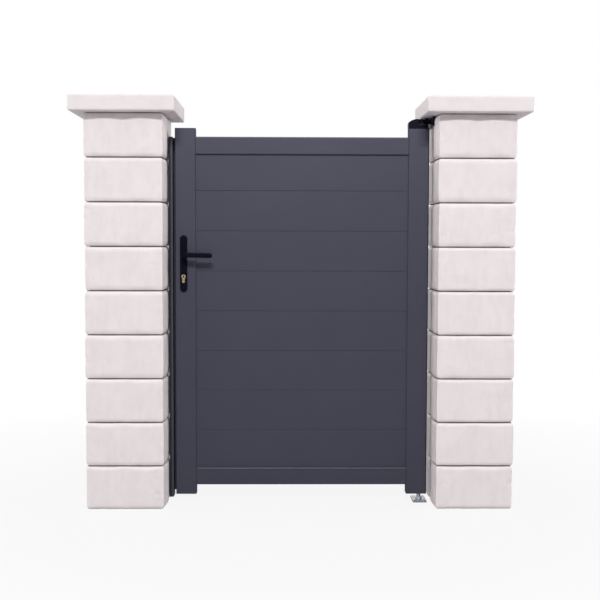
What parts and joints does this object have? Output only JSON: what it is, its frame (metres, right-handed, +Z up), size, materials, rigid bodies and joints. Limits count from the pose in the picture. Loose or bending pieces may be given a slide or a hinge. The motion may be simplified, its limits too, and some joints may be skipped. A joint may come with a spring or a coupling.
{
  "type": "pedestrian garden gate",
  "caption": "Boarded aluminium pedestrian gate on a pivot between two rock-faced block pillars with coping slabs, with a lever handle and a stop profile.",
  "frame": {"origin": "ground level, middle of the opening between the pillars, on the mid-plane of the leaf", "axes": "+X along the opening towards the hinge pillar, +Y away from the viewer, +Z up"},
  "size_m": [1.726, 0.394, 1.563],
  "materials": {
    "cast_stone": "rock-faced, matt",
    "coping_stone": "smooth cast, matt",
    "anthracite_aluminium": "powder coated, satin",
    "black_hinge": "powder coated, satin black",
    "black_handle": "satin black",
    "spindle_steel": "plain",
    "cylinder_brass": "satin nickel on brass",
    "bearing_plastic": "matt black",
    "galvanised_steel": "galvanised"
  },
  "bodies": {
    "pillars": {"left_block_1": "cast_stone", "left_block_2": "cast_stone", "left_block_3": "cast_stone", "left_block_4": "cast_stone", "left_block_5": "cast_stone", "left_block_6": "cast_stone", "left_block_7": "cast_stone", "left_block_8": "cast_stone", "left_block_9": "cast_stone", "right_block_1": "cast_stone", "right_block_2": "cast_stone", "right_block_3": "cast_stone", "right_block_4": "cast_stone", "right_block_5": "cast_stone", "right_block_6": "cast_stone", "right_block_7": "cast_stone", "right_block_8": "cast_stone", "right_block_9": "cast_stone", "left_cap": "coping_stone", "right_cap": "coping_stone", "stop_profile": "anthracite_aluminium", "hinge_bracket": "black_hinge", "hinge_pin": "black_hinge", "hinge_adjuster": "black_hinge", "foot_plate": "galvanised_steel", "foot_pin": "galvanised_steel"},
    "leaf": {"latch_stile": "anthracite_aluminium", "latch_stile_top_cap": "anthracite_aluminium", "latch_stile_bottom_cap": "anthracite_aluminium", "hinge_stile": "anthracite_aluminium", "hinge_stile_plug": "bearing_plastic", "top_rail": "anthracite_aluminium", "bottom_rail": "anthracite_aluminium", "board_1": "anthracite_aluminium", "board_2": "anthracite_aluminium", "board_3": "anthracite_aluminium", "board_4": "anthracite_aluminium", "board_5": "anthracite_aluminium", "board_6": "anthracite_aluminium", "board_7": "anthracite_aluminium", "board_8": "anthracite_aluminium", "front_backplate": "black_handle", "rear_backplate": "black_handle", "lock_cylinder": "cylinder_brass", "hinge_shoe": "black_hinge"},
    "lever": {"front_lever": "black_handle", "rear_lever": "black_handle", "lever_spindle": "spindle_steel"}
  },
  "joints": [
    {"name": "leaf_swing", "type": "hinge", "parent": "pillars", "child": "leaf", "pos_m": [0.472, 0, 0.744], "axis": [0, 0, 1], "range_deg": [0, 90]},
    {"name": "lever_turn", "type": "hinge", "parent": "leaf", "child": "lever", "pos_m": [-0.453, 0, 0.97], "axis": [0, 1, 0], "range_deg": [0, 40], "stiffness_Nm_per_rad": 0.9, "springref_deg": -20.05}
  ]
}
